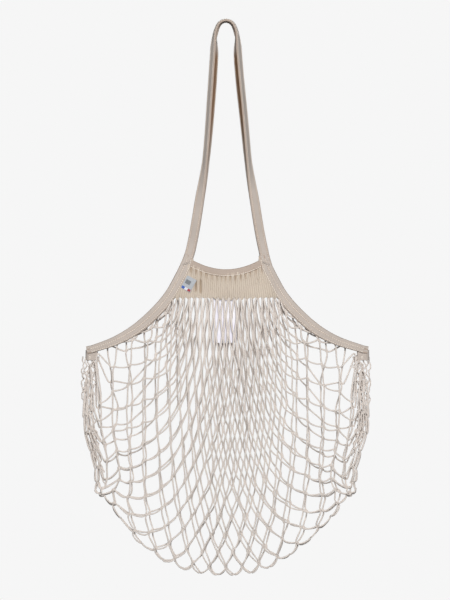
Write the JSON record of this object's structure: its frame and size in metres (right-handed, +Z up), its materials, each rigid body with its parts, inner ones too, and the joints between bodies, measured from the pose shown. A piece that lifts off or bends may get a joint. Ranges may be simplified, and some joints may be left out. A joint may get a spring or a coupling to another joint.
{
  "type": "mesh produce bag",
  "caption": "Knotless cotton net bag with a gathered rib yoke, bound side edges and two long tape handles, hanging empty from a hook.",
  "frame": {"origin": "underside of the handles' top bend, where a hook bears, midway between the front and back handles", "axes": "+Z up, +X across the bag to the right as its front is seen, -Y towards its front, which carries the woven label"},
  "size_m": [0.36, 0.0364, 0.6911],
  "materials": {
    "cotton_net": "matte knitted cotton cord",
    "cotton_rib": "matte dense rib knit",
    "cotton_tape": "matte woven cotton tape",
    "thread": "sewing thread",
    "label_weave": "fine damask weave",
    "label_satin": "satin ribbon"
  },
  "bodies": {
    "bag_body": {"lower_net": "cotton_net", "left_corner_fold": "cotton_tape", "right_corner_fold": "cotton_tape", "left_corner_tack": "thread", "right_corner_tack": "thread"},
    "front_flap": {"front_upper_net": "cotton_net", "front_yoke": "cotton_rib", "front_collar": "cotton_tape", "front_collar_stitching": "thread", "front_left_binding": "cotton_tape", "front_left_binding_stitching": "thread", "front_left_bar_tack": "thread", "front_right_binding": "cotton_tape", "front_right_binding_stitching": "thread", "front_right_bar_tack": "thread"},
    "back_flap": {"back_upper_net": "cotton_net", "back_yoke": "cotton_rib", "back_collar": "cotton_tape", "back_collar_stitching": "thread", "back_left_binding": "cotton_tape", "back_left_binding_stitching": "thread", "back_left_bar_tack": "thread", "back_right_binding": "cotton_tape", "back_right_binding_stitching": "thread", "back_right_bar_tack": "thread"},
    "front_handle": {"front_handle": "cotton_tape"},
    "back_handle": {"back_handle": "cotton_tape"},
    "woven_label": {"woven_label": "label_weave"},
    "care_label": {"care_label": "label_satin"}
  },
  "joints": [
    {"name": "front_mouth_open", "type": "hinge", "parent": "bag_body", "child": "front_flap", "pos_m": [0, 0, -0.41], "axis": [1, 0, 0], "range_deg": [0, 25]},
    {"name": "back_mouth_open", "type": "hinge", "parent": "bag_body", "child": "back_flap", "pos_m": [0, 0, -0.41], "axis": [-1, 0, 0], "range_deg": [0, 25]},
    {"name": "front_handle_fold", "type": "hinge", "parent": "front_flap", "child": "front_handle", "pos_m": [0, -0.0096, -0.294], "axis": [1, 0, 0], "range_deg": [0, 145]},
    {"name": "back_handle_fold", "type": "hinge", "parent": "back_flap", "child": "back_handle", "pos_m": [0, 0.0096, -0.294], "axis": [-1, 0, 0], "range_deg": [0, 145]},
    {"name": "woven_label_flap", "type": "hinge", "parent": "front_flap", "child": "woven_label", "pos_m": [-0.0476, -0.00995, -0.3155], "axis": [-0.4848, 0, -0.8746], "range_deg": [0, 165]},
    {"name": "care_label_swing", "type": "hinge", "parent": "front_flap", "child": "care_label", "pos_m": [-0.0015, -0.0037, -0.324], "axis": [1, 0, 0], "range_deg": [-4, 10]}
  ]
}
